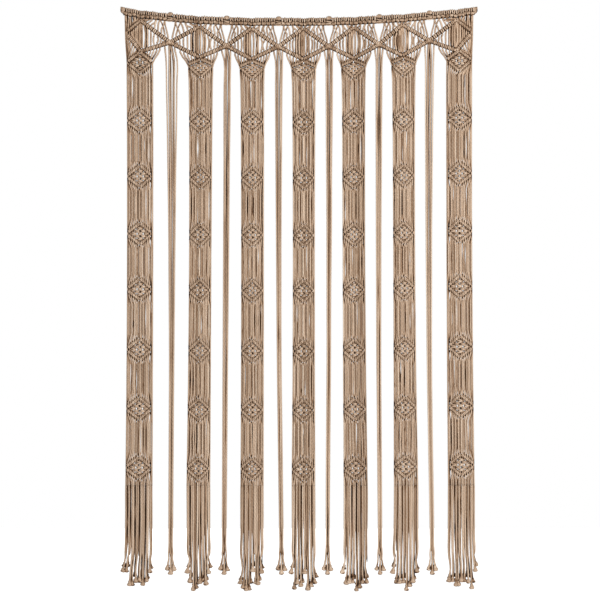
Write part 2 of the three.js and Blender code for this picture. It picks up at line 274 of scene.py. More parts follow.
class Skein:
    """Cords gathered into one mesh, with a map of turns round and turns along each cord."""

    def __init__(self):
        self.vertices, self.corners, self.sizes, self.maps = [], [], [], []
        self.tones, self.outward, self.middles = [], [], []
        self.count = 0

    def add(self, cord):
        points, radii = cord.course()
        first, second = cross_frames(points)
        turn = np.arange(SIDES) / SIDES * 2 * math.pi
        ring = np.cos(turn)[:, None, None] * first + np.sin(turn)[:, None, None] * second
        vertices = points + ring * radii[:, None]
        count = len(points)
        self.outward.append(ring.transpose(1, 0, 2).reshape(-1, 3))
        self.middles.append(resampled(lengthened(points), VOXEL))
        self.vertices.append(vertices.transpose(1, 0, 2).reshape(-1, 3))
        grid = self.count + np.arange(count * SIDES).reshape(count, SIDES)
        after = np.roll(grid, -1, axis=1)
        quads = np.stack([grid[:-1], after[:-1], after[1:], grid[1:]], axis=-1)
        ends = [grid[0][::-1], grid[-1]]
        self.corners.append(np.concatenate([quads.ravel(), *ends]))
        self.sizes.append(np.concatenate([np.full((count - 1) * SIDES, 4), [SIDES, SIDES]]))
        along = walk(points) / PLY_PITCH + cord.tone * 5
        around = np.arange(SIDES) / SIDES
        u0, v0 = np.broadcast_arrays(around, along[:-1, None])
        u1, v1 = np.broadcast_arrays(around + 1 / SIDES, along[1:, None])
        side_map = np.stack([u0, v0, u1, v0, u1, v1, u0, v1], axis=-1).reshape(-1, 2)
        end_maps = [np.column_stack([around[::-1], np.full(SIDES, along[0])])]
        end_maps.append(np.column_stack([around, np.full(SIDES, along[-1])]))
        self.maps.append(np.concatenate([side_map, *end_maps]))
        self.tones.append(np.full(count * SIDES, cord.tone))
        self.count += count * SIDES

    def painted_shade(self):
        """Painted shade for each vertex, standing in for the shade among the cords: 0 in the open
        and standing out from the curtain, 1 inside a knot."""
        middles, outward = np.concatenate(self.middles), np.concatenate(self.outward)
        vertices = np.concatenate(self.vertices)
        low = middles.min(axis=0) - 6 * VOXEL
        shape = np.ceil((middles.max(axis=0) - low) / VOXEL).astype(int) + 7
        cells = np.round((middles - low) / VOXEL).astype(int)
        flat = np.ravel_multi_index(cells.T, shape)
        crowd = np.bincount(flat, minlength=shape.prod()).reshape(shape).astype(np.float32)
        for _ in range(2):
            for axis in range(3):
                crowd = (crowd + np.roll(crowd, 1, axis) + np.roll(crowd, -1, axis)) / 3
        faced = np.zeros(self.count)
        for reach, share in FACED:
            facing = vertices + outward * reach * VOXEL
            cells = np.clip(np.round((facing - low) / VOXEL).astype(int), 0, shape - 1)
            faced += share * crowd[tuple(cells.T)]
        out = outward[:, 1] * vertices[:, 1]
        faced *= 1 - LIT * np.clip(out / LIT_FROM, 0, 1)
        sunk_shade = SUNK_SHADE * (1 - np.clip(out / STANDING, 0, 1))
        gloom = np.interp(vertices[:, 2], *zip(*GLOOM))
        crowded = faced / CROWDED * (1 + GLOOM_DEEPENS * gloom)
        return np.clip(crowded + sunk_shade + GLOOM_COVERS * gloom, 0, 1)

    def build(self, name, replaced):
        """Makes the piece, which stands for the replaced CAD nodes."""
        vertices = np.concatenate(self.vertices) * MM
        corners = np.concatenate(self.corners)
        sizes = np.concatenate(self.sizes)
        mesh = bpy.data.meshes.new(name)
        mesh.vertices.add(len(vertices))
        mesh.vertices.foreach_set("co", vertices.ravel())
        mesh.loops.add(len(corners))
        mesh.loops.foreach_set("vertex_index", corners)
        mesh.polygons.add(len(sizes))
        mesh.polygons.foreach_set("loop_start", np.cumsum(sizes) - sizes)
        mesh.polygons.foreach_set("loop_total", sizes)
        mesh.polygons.foreach_set("use_smooth", sizes == 4)
        layer = mesh.uv_layers.new(name="turns")
        layer.data.foreach_set("uv", np.concatenate(self.maps).ravel())
        # Each cord's random tone, and painted crevice shade for each vertex.
        for label, values in (("tone", np.concatenate(self.tones)), ("painted_crevice_shade", self.painted_shade())):
            mesh.attributes.new(label, "FLOAT", "POINT").data.foreach_set("value", values)
        mesh.update(calc_edges=True)
        mesh.validate()
        mesh.materials.append(COTTON)
        piece = placed(name, mesh)
        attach(piece, "root")
        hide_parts(*replaced)
        return piece


# ---- material
def noded(owner):
    """A material or world that has nodes, its nodes and its links."""
    owner.use_nodes = True
    return owner, owner.node_tree.nodes, owner.node_tree.links


def put(node, values):
    """Sets inputs of a node."""
    for socket, value in values.items():
        node.inputs[socket].default_value = value
    return node


def cotton():
    """Matt cotton: three twisted plies, fine fibres, a tone that differs between cords, and
    painted shade in the grooves between plies and in the crevices between cords.
    """
    material, nodes, links = noded(bpy.data.materials.new("cotton_cord"))
    shader = nodes["Principled BSDF"]

    def math_node(operation, a, b=None):
        node = nodes.new("ShaderNodeMath")
        node.operation = operation
        for socket, value in zip(node.inputs, (a, b)):
            if isinstance(value, (int, float)):
                socket.default_value = value
            elif value is not None:
                links.new(value, socket)
        return node.outputs[0]

    def noise(scale, detail, vector):
        node = put(nodes.new("ShaderNodeTexNoise"), {"Scale": scale, "Detail": detail})
        links.new(vector, node.inputs["Vector"])
        return node.outputs["Fac"]

    def ramp(factor, stops):
        node = nodes.new("ShaderNodeValToRGB")
        while len(node.color_ramp.elements) < len(stops):
            node.color_ramp.elements.new(0.5)
        for element, (position, colour) in zip(node.color_ramp.elements, stops):
            element.position = position
            element.color = (*colour, 1)
        links.new(factor, node.inputs["Fac"])
        return node.outputs["Color"]

    def multiply(a, b):
        node = nodes.new("ShaderNodeMix")
        node.data_type = "RGBA"
        node.blend_type = "MULTIPLY"
        put(node, {"Factor": 1})
        links.new(a, node.inputs["A"])
        links.new(b, node.inputs["B"])
        return node.outputs["Result"]

    def attribute(name):
        node = nodes.new("ShaderNodeAttribute")
        node.attribute_name = name
        return node.outputs["Fac"]

    turns = nodes.new("ShaderNodeUVMap")
    turns.uv_map = "turns"
    split = nodes.new("ShaderNodeSeparateXYZ")
    links.new(turns.outputs["UV"], split.inputs[0])
    place = nodes.new("ShaderNodeTexCoord").outputs["Object"]

    # Three plies wind round the cord: each is round, with a groove between it and the next.
    wound = math_node("ADD", math_node("MULTIPLY", split.outputs["X"], 3.0), split.outputs["Y"])
    ply = math_node("PINGPONG", wound, 0.5)
    groove = math_node("POWER", math_node("MULTIPLY", ply, 2.0), 0.5)

    # Fibres lie along the plies, so the noise is drawn out along the cord.
    stretch = nodes.new("ShaderNodeMapping")
    put(stretch, {"Scale": (26, 5, 1), "Rotation": (0, 0, 0.3)})
    links.new(turns.outputs["UV"], stretch.inputs["Vector"])
    fibre = noise(1.0, 3.0, stretch.outputs["Vector"])

    cottons = [(0.0, (0.07, 0.036, 0.018)), (DARK, (0.5, 0.365, 0.262))]
    cottons += [(0.45, (0.64, 0.482, 0.36)), (0.85, (0.71, 0.55, 0.42)), (1.0, (0.81, 0.66, 0.525))]
    base = ramp(attribute("tone"), cottons)
    cloud = ramp(noise(9.0, 3.0, place), [(0.3, (0.89, 0.87, 0.85)), (0.7, (1.0, 1.0, 1.0))])
    # The grooves between plies are darkened in colour: painted shade.
    shade = ramp(groove, [(0.0, (0.68, 0.62, 0.56)), (0.6, (1.0, 1.0, 1.0))])
    # Painted shade in the crevices between cords, from the vertex attribute.
    depths = [(0.15, (1.0, 1.0, 1.0)), (0.45, (0.74, 0.66, 0.58))]
    depths += [(0.75, (0.32, 0.22, 0.15)), (1.0, (0.06, 0.035, 0.02))]
    crevice_shade_colour = ramp(attribute("painted_crevice_shade"), depths)
    fleck = ramp(fibre, [(0.25, (0.86, 0.84, 0.81)), (0.75, (1.0, 1.0, 1.0))])
    colour = multiply(multiply(multiply(base, cloud), multiply(shade, crevice_shade_colour)), fleck)
    links.new(colour, shader.inputs["Base Color"])
    put(shader, {"Roughness": 0.92, "Specular IOR Level": 0.12})
    sheen = {"Sheen Weight": 0.18, "Sheen Tint": (0.95, 0.8, 0.65, 1), "Sheen Roughness": 0.5}
    put(shader, sheen)

    height = math_node("ADD", groove, math_node("MULTIPLY", fibre, 0.35))
    bump = put(nodes.new("ShaderNodeBump"), {"Strength": 0.8, "Distance": 0.7 * MM})
    links.new(height, bump.inputs["Height"])
    links.new(bump.outputs["Normal"], shader.inputs["Normal"])
    return material


COTTON = cotton()


# ---- hitches
class Bar:
    """A straight run of a leading cord, from start to end, both (x, z), and its radius."""

    def __init__(self, start, end, core=2.3):
        self.core = core
        self.start = np.array(start, float)
        self.end = np.array(end, float)
        self.length = float(np.linalg.norm(self.end - self.start))
        self.along = (self.end - self.start) / self.length
        up = np.array([-self.along[1], self.along[0]])
        self.up = up if up[1] > 0 else -up

    def at(self, share):
        return self.start + (self.end - self.start) * share


HITCH_START, HITCH_END = math.radians(30), math.radians(512)  # from a bar's top to the front
HITCH_STEPS = 12
NECK = 1.75  # radius of a cord where it comes out of a hitch
DRAWN, THINNED = 0.54, 0.26  # how much a hitch draws together, and thins, at a bar's edges


def hitch(cord, bar, share, width, lead=5.0, more=0, dip=0.9, slack=FREE):
    """Two turns of a cord round a bar, or more: over its top to the front, round, and out
    below. The turns fill the width that the cord has on the bar, and draw together at the
    bar's edges, where a notch is left between one hitch and the next. The cord comes in from
    lead above and dip behind, and is thinner just outside the hitch than further on."""
    middle = bar.at(share)
    radius = min(max(0.27 * abs(width) / (1 + 0.5 * more), 2.0), 2.8)
    reach = bar.core + radius + chance.normal(0, 0.08)
    steps = HITCH_STEPS + 9 * more
    spread = 0.33 + 0.06 * more
    for i in range(steps + 1):
        share_turned = i / steps
        turn = mix(HITCH_START, HITCH_END + more * 2 * math.pi, share_turned)
        drawn = math.cos(turn) ** 2 * (1.0 if math.cos(turn) < 0 else 0.85)
        across = width * mix(-spread, spread, share_turned) * (1 - DRAWN * drawn)
        x, z = middle + bar.along * across + bar.up * reach * math.cos(turn)
        y = -reach * math.sin(turn)
        if i == 0:
            cord.to(x, y + dip, z + lead, 2, slack)
            cord.to(x, y + dip / 2, z + 0.45 * lead, 1, NECK)
        cord.to(x, y, z, 1, radius * (1 - THINNED * drawn))
    cord.to(x, y + 0.6, z - 0.5 * lead, 1, NECK)
    cord.to(x, y + 0.3, z - lead - 2, 1, slack)


def lead(cord, bar, steps=4):
    """A leading cord along a bar, inside its hitches."""
    for i in range(steps + 1):
        x, z = bar.at(i / steps)
        cord.to(x, 0, z, 2 if i == 0 else 1, bar.core)


def fill(bar, skein, beyond=0):
    """Dark cords tucked in behind a bar's edges, seen only between its hitches, and one
    beyond an edge, behind the cords that come in or go out there. Their near-black tone is
    painted shade in the notches between hitches."""
    rows = [(-1.6, 3.2), (1.6, 3.2)] + ([(5.8 * beyond, 4.2)] if beyond else [])
    for lift, y in rows:
        cord = Cord(SHADE_TONE)
        for share in np.linspace(0.04, 0.96, 5):
            x, z = bar.at(share) + bar.up * (lift + math.copysign(bar.core, lift))
            cord.to(x, y, z, 1, 2.4)
        skein.add(cord)


# ---- square knots
# Half a square knot, from the middle of its two core cords: the working cord passes in front
# to the other side and comes back; the other working cord does the same behind, mirrored.
KNOT_HALF = 3.8  # half the knot's height
ACROSS = ((-5.7, -0.3, 3.8), (-4.2, -3.1, 2.8), (0.0, -4.3, 1.9), (4.1, -3.2, 1.3))
WORKING = (*ACROSS, (5.9, -0.4, 0.0), *((x, y, -z) for x, y, z in ACROSS[::-1]))
CORE = 1.9  # core cords lie this far from the knot's middle
KNOTTED = 2.4  # radius of a cord in a square knot
KNOT_PITCH = 17.0  # between knots of one row
ROW_PITCH = 7.8


def square_knot(cord, role, x, z, scale):
    """Takes a cord through a square knot; roles 0 and 3 work round the core cords 1 and 2."""
    if role in (0, 3):
        side = 1 if role == 0 else -1
        for across, front, up in WORKING:
            cord.to(x + side * across * scale, side * front, z + up, 1, KNOTTED)
        return
    place = x + (CORE if role == 2 else -CORE) * scale
    for up in (KNOT_HALF, 0, -KNOT_HALF):
        cord.to(place, 0.2, z + up, 1, KNOTTED)


# ---- diamonds
def diamond(cords, first_leader, x, upper, lower, rows, aside, skein):
    """Takes a column's cords through one diamond: two leading cords cross, and each carries
    hitches down to a tip and back to the foot, round a lattice of square knots. upper and
    lower list (height at the middle, height at the tips, left reach, right reach) of the
    bars, and rows (number of knots, height). A sixth cord passes the lower bars aside of
    their tips."""
    leaders = cords[first_leader], cords[first_leader + 1]
    sides = (
        (-1, 2, [cords[first_leader - 1 - i] for i in range(INNER)]),
        (1, 3, [cords[first_leader + 2 + i] for i in range(INNER)]),
    )
    scale = (lower[2] + lower[3]) / 60
    inner = sides[0][2][::-1] + sides[1][2]
    bars = []
    for leader, (side, reach, hitched) in zip(leaders[::-1], sides):
        above = Bar((x + side * 1.5, upper[0]), (x + side * upper[reach], upper[1]))
        below = Bar((x + side * lower[reach], lower[1]), (x + side * 1.5, lower[0]))
        bars.append(below)
        leader.to(x - side * 1.8, side * 2.2, upper[0] + 6, 3)
        leader.to(x, side * 2.0, upper[0] + 1.5, 1, TIGHT)
        lead(leader, above)
        fill(above, skein, 1)
        fill(below, skein, -1)
        tip = max(upper[reach], lower[reach]) + 2.5
        leader.to(x + side * tip, 0, (upper[1] + lower[1]) / 2, 2, TIGHT)
        lead(leader, below)
        leader.to(x, side * 2.0, lower[0] - 1.5, 1, TIGHT)
        leader.to(x - side * 2.2, side * 1.2, lower[0] - 8, 2)
        for i, cord in enumerate(hitched[:HITCHED]):
            hitch(cord, above, (i + 0.5) / HITCHED, above.length / HITCHED, 4.0)
        passing = hitched[HITCHED]
        passing.to(x + side * (upper[reach] - 1), 4.6, upper[1] + 3, 3)
        passing.to(x + side * (lower[reach] + aside), 4.2, lower[1] + 3, 2)

    for knots, height in rows:
        skipped = INNER - 2 * knots
        for j, cord in enumerate(inner[skipped : skipped + 4 * knots]):
            number, role = divmod(j, 4)
            place = x + (number - (knots - 1) / 2) * KNOT_PITCH * scale
            square_knot(cord, role, place, height, scale)

    for below, (side, reach, hitched) in zip(bars, sides):
        for i, cord in enumerate(hitched[:HITCHED]):
            hitch(cord, below, 1 - (i + 0.5) / HITCHED, below.length / HITCHED, 4.0)
        passing = hitched[HITCHED]
        passing.to(x + side * (lower[reach] + aside), 4.2, lower[1] - 1, 2)
        passing.to(x + side * (lower[reach] + aside - 1), 3.6, lower[1] - 9, 2)


# ---- heading
RIDGE = 2.8  # radius of a cord where it lies over the carrying cords
DIP = 2.5  # how far the band dips at the middle of a unit
DIP_WIDTH = 9.0  # and how far to each side
BAND_ROWS = (9.5, 14.0, 18.5, 23.0)  # depths of the dark cords inside the band, whose dark tone is painted shade
TOP_CORD = (4.6, -0.9, 0.13, 2.6)  # the one that shows under the loops, dark as painted shade: depth, y, tone, radius


def band_top(x):
    """Upper edge of the band, with its dip at the middle of each unit."""
    near = min(abs(x - apex) for apex in APEXES)
    return edge_height(x) - DIP * math.exp(-((near / DIP_WIDTH) ** 2))


def mounted(x, number, pitch):
    """One of the two ends of a doubled cord: hung over the first carrying cord, and hitched
    on the second below it."""
    cord = Cord()
    top = band_top(x)
    inward = 1 if number % 2 == 0 else -1
    high = chance.normal(0, 0.75)
    lean = chance.normal(0, 0.5)
    cord.to(x, 3.4, top - 12, 1, TIGHT)
    cord.to(x, 3.8, top - 6, 1, TIGHT)
    cord.to(x, 0.6, top - 2.1 + high, 1, RIDGE)
    cord.to(x + lean * 0.5, -3.4, top - 3.4 + high, 1, RIDGE)
    cord.to(x + lean, -4.6, top - 7.5, 1, TIGHT)
    low = top - HITCH_ROW + chance.normal(0, 0.9)
    x += inward * 0.8
    bar = Bar((x - 4, low), (x + 4, low + chance.normal(0, 1.2)), 2.9)
    hitch(cord, bar, 0.5, inward * pitch, 2.5, dip=-1.4)
    return cord


def carrying_cord(start, end, depth, y, tone=SHADE_TONE, radius=FREE):
    """A cord inside the band, at this depth under its upper edge, near black by default as painted
    shade.
    """
    cord = Cord(tone)
    for x in np.linspace(start, end, 24):
        cord.to(x, y, band_top(x) - depth, 1, radius)
    return cord


# ---- one unit
KNOB_CLEARANCE = 9.8  # from a knob's middle to the next cord's place
CORNER_ROLL = 11  # width of a corner's roll
NET_CORE = 2.8  # radius of what a net's bars carry
NET_CORD = 3.05  # radius of a cord between a net's bars, where it hangs slack
NET_HITCHES = 9  # on each bar
EDGE_HITCHES = 7  # on a bar at the curtain's edge
FUNNEL_SHARE = 0.72  # of a lower bar, from the apex, that carries the column's cords
DROP_SHARES = (0.79, 0.93)  # where a lower bar carries the drop's cords
# How much closer than the rest the cords beside a unit's middle may lie, on its left and right.
BUNCHED = {-1: (0.5, 0.8), 1: (0.0, 0.5)}
PAIRED = {-1: 0.4, 1: 1.0}  # how far neighbours close up in pairs, in millimetres
# From a unit's middle to the cords that hang behind the rest in its net.
NET_BEHIND = {-1: (3.5, 9.5, 15.5, 22.0), 1: (15.5,)}
EDGE_BEHIND = 7  # such cords on the side of the curtain's edge
# Beside a crossing, the second and third cords change places: the number of each from the
# left, and how far the two and the outermost move outwards, back and down.
SWAPPED = {-1: (1, 2), 1: (17, 18)}
SWAP_WAYS = ((-4.5, -1.8, 15), (5.0, 2.6, 12), (1.5, 0, 14))


def knob_x(number):
    low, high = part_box(f"heading_knot_{number}")
    return (low[0] + high[0]) / 2 / MM


class Side:
    """The bars on one side of a unit's net; side is -1 for the left and 1 for the right."""

    def __init__(self, unit, side):
        apex = APEXES[unit - 1]
        number = unit - 1 if side < 0 else unit
        self.side = side
        self.bunched = chance.uniform(*BUNCHED[side])
        self.at_edge = number in (0, len(APEXES))
        top = edge_height(apex)
        if self.at_edge:
            x, depth, self.hitches, apart = side * EDGE_TURN_X, EDGE_TURN, EDGE_HITCHES, 6.0
        else:
            x, depth, self.hitches, apart = knob_x(number), CROSSING, NET_HITCHES, 0.0
        self.turn = (x, edge_height(x) - depth)
        self.upper = self.shortened((apex, top - UPPER_APEX), apart)
        self.lower = self.shortened((apex, top - LOWER_APEX), -apart, back=True)

    def shortened(self, apex, lift, back=False):
        """From near the apex to near the turn, where the two bars keep apart by lift, or
        back."""
        whole = Bar(apex, (self.turn[0], self.turn[1] + lift))
        ends = whole.at(1.5 / whole.length), whole.at(1 - 1.0 / whole.length)
        return Bar(*(ends[::-1] if back else ends), NET_CORE)

    def place(self, count):
        """Where a bar carries its cords, as shares from the apex: (middle, width) of each."""
        numbers = np.arange(count)
        widths = 1 - self.bunched * np.exp(-((numbers / 1.8) ** 2))
        widths /= widths.sum()
        return list(zip(np.cumsum(widths) - widths / 2, widths))

    def lower_places(self):
        """The same for the lower bar, from its turn; a drop's cords wind the other way."""
        if self.at_edge:
            return [(1 - middle, width) for middle, width in self.place(self.hitches)]
        near = [(1 - FUNNEL_SHARE * m, FUNNEL_SHARE * w) for m, w in self.place(SIDE_CORDS)]
        return near + [(1 - share, -(1 - FUNNEL_SHARE) / 2) for share in DROP_SHARES]


def net_cords(unit, skein):
    """Works a unit from its heading to the foot of its net. Returns the cords of its column,
    from left to right, and the cords of the drops at its left and right."""
    left, right = Side(unit, -1), Side(unit, 1)
    start = -HALF_WIDTH + CORNER_ROLL if left.at_edge else left.turn[0] + KNOB_CLEARANCE
    end = HALF_WIDTH - CORNER_ROLL if right.at_edge else right.turn[0] - KNOB_CLEARANCE
    pitch = (end - start) / UNIT_CORDS
    cords = [mounted(start + (s + 0.5) * pitch, s, pitch) for s in range(UNIT_CORDS)]
    for depth in BAND_ROWS:
        skein.add(carrying_cord(start - 1, end + 1, depth, 2.0))
    skein.add(carrying_cord(start - 1, end + 1, *TOP_CORD))

    for bars in (left, right):
        if bars.at_edge:
            continue
        first, second = SWAPPED[bars.side]
        trio = (first, second, 0) if bars.side < 0 else (second, first, -1)
        for number, (across, y, down) in zip(trio, SWAP_WAYS):
            x, _, z = cords[number].points[-1]
            cords[number].to(x + bars.side * across, y, z - down, 4)
        cords[first], cords[second] = cords[second], cords[first]

    half = UNIT_CORDS // 2
    column, drops = {}, {-1: [], 1: []}
    for bars in (left, right):
        side = bars.side
        outward = cords[half - 2 :: -1] if side < 0 else cords[half + 1 :]
        rows = zip(outward, bars.place(bars.hitches), bars.lower_places())
        for i, (cord, (above, upper_width), (below, lower_width)) in enumerate(rows):
            x, y, z = cord.points[-1]
            room = z - bars.upper.at(above)[1] - 8
            if room > 12 and i < bars.hitches - 2:
                cord.to(x - side * (0.6 + 0.6 * i), y, z - 7, 2, NET_CORD)
            ahead = min(max(room / 3, 1.0), 6.0)
            upper_width *= bars.upper.length
            hitch(cord, bars.upper, above, upper_width, ahead, slack=NET_CORD)
            a, b = bars.upper.at(above), bars.lower.at(below)
            if a[1] - b[1] > 40:
                sway = chance.normal(0, 1.0, 2)
                sway[0] += side * PAIRED[side] * (1 if i % 2 else -1)
                for share in (0.33, 0.67):
                    x, z = a + (b - a) * share
                    cord.to(x + sway[0], sway[1], z, 3, NET_CORD)
            more = 1 if lower_width < 0 else 0
            lower_width *= bars.lower.length
            hitch(cord, bars.lower, below, lower_width, 6.0, more, slack=NET_CORD)
        fill(bars.upper, skein)
        fill(bars.lower, skein)
        loose = outward[bars.hitches :] if bars.at_edge else outward[SIDE_CORDS:]
        if bars.at_edge:
            # Cords behind the edge's net, in darker tones: painted shade.
            for i in range(EDGE_BEHIND):
                cord = Cord(tones=BEHIND_SHADED_TONES)
                x, z = bars.upper.at(0.08 + 0.15 * i)
                z_low = bars.lower.at(max(0.92 - 0.15 * i, 0.04))[1]
                cord.to(x + side * 2.5, 2.0, edge_height(x) - 24, 1)
                cord.to(x, 3.2, z + 2, 2)
                cord.to(x, 3.2, z_low - 2, 3)
                skein.add(cord)
            for i, cord in enumerate(loose):
                x = side * (HALF_WIDTH - CORNER_ROLL - 10.5 + 4.6 * i)
                z = edge_height(x) - BAND_HEIGHT
                cord.to(x, 0.5 * i, z - 25, 3)
                cord.to(x - side * 1.0, 0.5 * i, z - 70, 3)
        else:
            drops[side] = loose
            for across in NET_BEHIND[side]:
                cord = Cord()
                reach = across / abs(bars.turn[0] - APEXES[unit - 1])
                (x, z), (_, z_low) = bars.upper.at(reach), bars.lower.at(1 - reach)
                cord.to(x, 3.4, z - 1, 1, NET_CORD)
                cord.to(x + chance.normal(0, 1.0), 3.4, z_low + 1, 2, NET_CORD)
                skein.add(cord)
        kept = outward[:SIDE_CORDS] + (loose if bars.at_edge else [])
        column[side] = kept[::-1] if side < 0 else kept

        # The unit's own leading cord carries the upper bar.
        leader = cords[half - 1] if side < 0 else cords[half]
        lead(leader, bars.upper, 8)
        if bars.at_edge:
            leader.to(bars.turn[0] + side * 3.5, 0, bars.turn[1], 2, TIGHT)
            returning = leader
        else:
            leader.to(bars.turn[0] + side * 4, -side * 2.0, bars.turn[1] - 2.5, 1, TIGHT)
            skein.add(leader)
            returning = Cord()
            returning.to(bars.turn[0] + side * 4, side * 2.0, bars.turn[1] + 2.5, 1, TIGHT)
        lead(returning, bars.lower, 8)
        column[side, "leader"] = returning
    order = column[-1] + [column[-1, "leader"], column[1, "leader"]] + column[1]
    return order, drops, left.at_edge, right.at_edge


# ---- columns
PARTINGS = 2  # places in each stretch between diamonds where two cords part
GROUP_DEPTH = 1.5  # cords that cling together lie this far in front of or behind the rest
CLING = 0.25  # how far a cord moves towards its group


def gathered(count):
    """Sets cords side by side in groups of one to three, in turn in front and behind.
    Returns how far each moves sideways and in depth."""
    across, depth = np.zeros(count), np.zeros(count)
    front, start = chance.random() < 0.7, 0
    while start < count:
        size = min(int(chance.choice((1, 1, 2, 2, 3) if front else (1, 1, 1, 2))), count - start)
        for i in range(start, start + size):
            across[i] = CLING * ((size - 1) / 2 - (i - start))
            depth[i] = (-GROUP_DEPTH if front else GROUP_DEPTH) + chance.normal(0, 0.35)
        front, start = not front, start + size
    return across, depth


def hang(cords, edges, top, foot):
    """Lets a column's cords hang side by side between two heights. edges gives a height's
    left and right."""
    count = len(cords)
    numbers = np.arange(count)
    partings = [
        (chance.integers(0, count - 1), chance.uniform(0.15, 0.85), chance.uniform(0.12, 0.35))
        for _ in range(PARTINGS)
    ]
    widths = chance.uniform(0.6, 2.4, PARTINGS)
    across, depth = gathered(count)
    for share in np.linspace(0, 1, 7)[1:-1]:
        z = mix(top, foot, share)
        left, right = edges(z)
        loose = math.sin(math.pi * share) ** 0.5
        places = side_by_side(left, right, count) + across * loose
        for (after, middle, reach), width in zip(partings, widths):
            opening = width * math.exp(-(((share - middle) / reach) ** 2))
            apart = numbers - after - 0.5
            places += np.sign(apart) * opening / 2 * np.exp(-(np.abs(apart) - 0.5) / 1.6)
        places = np.clip(places, left + FREE, right - FREE)
        for cord, x, y in zip(cords, places, depth * loose):
            cord.to(x, y, z, 2)


BAR_HEIGHT = 32  # of a diamond, from its middle to the crossing of its bars
TIP_GAP = 5.5  # the bars' ends stand this far above and below a tip
TIP_INSET = {-1: 5.0, 1: 8.0}  # from a column's edge to a diamond's tip, usually
EDGE_INSET = {-1: 5.0, 1: 10.5}  # the same in the first column; the last mirrors it
ROW_SHIFTS = ((1, 2), (2, 1), (3, 0), (2, -1), (1, -2))  # a lattice's knots and row
KITE_KNOTS = (1, 2, 3, 2, 1)  # in each row of the first diamond's lattice
BACKING_Y = 4.8  # how far behind the curtain's middle plane the cords behind the rest hang
BACKING_CORD = 2.2  # half their thickness


def column_cords(unit, cords, left_edge, right_edge, skein):
    """Takes a column's cords down through its eight diamonds. Returns the cords behind them,
    and how far each cord has moved across and in depth at the foot."""
    strip = levels(f"column_{unit}")
    centres = [row[0] for row in strip[1:-1] if row[3] > 5]
    count = len(cords)
    middle = count // 2 - 1
    inset = dict(EDGE_INSET if left_edge or right_edge else TIP_INSET)
    if right_edge:
        inset = {-1: inset[1], 1: inset[-1]}

    def edges(z):
        flare = math.exp((z - strip[0, 0]) / FLARE_DEPTH) if z < strip[0, 0] else 1.0
        flare *= 0 if left_edge or right_edge else 1
        left, right = sides_at(strip, z)
        return left - FLARE[-1] * flare, right + FLARE[1] * flare

    def outside(leader, x_left, x_right, z, reach=9):
        """Cords that pass a tip outside it: the outermost hangs free, the rest lie behind."""
        groups = (
            (1, x_left, inset[-1], cords[: leader - INNER]),
            (-1, x_right, inset[1], cords[leader + 2 + INNER :][::-1]),
        )
        for inward, x, room, passing in groups:
            for i, cord in enumerate(passing):
                y = 0.0 if i == 0 and room > 7 else 4.4
                cord.to(x + inward * (FREE + 3.2 * i), y, z + reach, 3)
                cord.to(x + inward * (FREE + 3.2 * i), y, z - 9, 3)

    # Cords that hang behind the rest are seen only where those part; their darker tones are painted
    # shade.
    behind = 1 if left_edge or right_edge else 5
    backing = [Cord() for _ in range(behind)]
    for cord, share in zip(backing, np.linspace(0, 1, behind) if behind > 1 else [0.5]):
        cord.tone = chance.uniform(*BACKING_SHADED_TONES)
        stray = 0.5 if share in (0, 1) else 1.5
        for z in np.linspace(strip[0, 0] - 22, COLUMN_END, 24):
            left, right = edges(z)
            x = mix(left + 5.4, right - 5.4, share) + chance.normal(0, stray)
            cord.to(x, BACKING_Y, z, 1, BACKING_CORD)
        skein.add(cord)

    # The first diamond is a kite that hangs close under the net.
    level = edge_height(APEXES[unit - 1])
    kite = FIRST_LEFT if left_edge else FIRST_RIGHT if right_edge else FIRST
    top, upper_tips, lower_tips, foot = (level - depth for depth in kite)
    leader = middle + (1 if left_edge else -1 if right_edge else 0)
    x_left, x_right = edges(upper_tips)
    x = (x_left + x_right) / 2
    wide = min((x_right - x_left) / 2 - 2.5, FIRST_UPPER_REACH)
    narrow = min((x_right - x_left) / 2 - 6, FIRST_LOWER_REACH)
    outside(leader, x_left, x_right, lower_tips, 4)
    step = (top - foot - 26) / 4
    diamond(
        cords, leader, x, (top, upper_tips, wide, wide), (foot, lower_tips, narrow, narrow),
        [(knots, top - 13 - step * i) for i, knots in enumerate(KITE_KNOTS)], 2.5, skein,
    )
    above = foot
    for centre in centres:
        hang(cords, edges, above + 8, centre + BAR_HEIGHT - 4)
        x_left, x_right = edges(centre)
        half = (x_right - x_left) / 2
        reach = half - inset[-1], half - inset[1]
        outside(middle, x_left, x_right, centre)
        diamond(
            cords, middle, (x_left + x_right) / 2,
            (centre + BAR_HEIGHT, centre + TIP_GAP, *reach),
            (centre - BAR_HEIGHT, centre - TIP_GAP, *reach),
            [(knots, centre + row * ROW_PITCH) for knots, row in ROW_SHIFTS], -3, skein,
        )
        above = centre - BAR_HEIGHT
    across, depth = gathered(count)
    for z, steps in ((above - 14, 3), (COLUMN_END, 2)):
        left, right = edges(z)
        places = side_by_side(left, right, count) + across
        for cord, x, y in zip(cords, places, depth):
            cord.to(x, y, z, steps)
    return backing, across, depth


# ---- fringe and end knots
# An end knot's outline from its foot up: height and radius.
BELL = ((0, 2.6), (0.7, 5.4), (2.4, 7.0), (4.4, 7.1), (7, 5.9), (10.5, 4.5), (14.5, 3.3))
BELL += ((19, FREE),)
BELL_TURNS = 1.6
BELL_VARIES = 0.06  # how much end knots differ in size


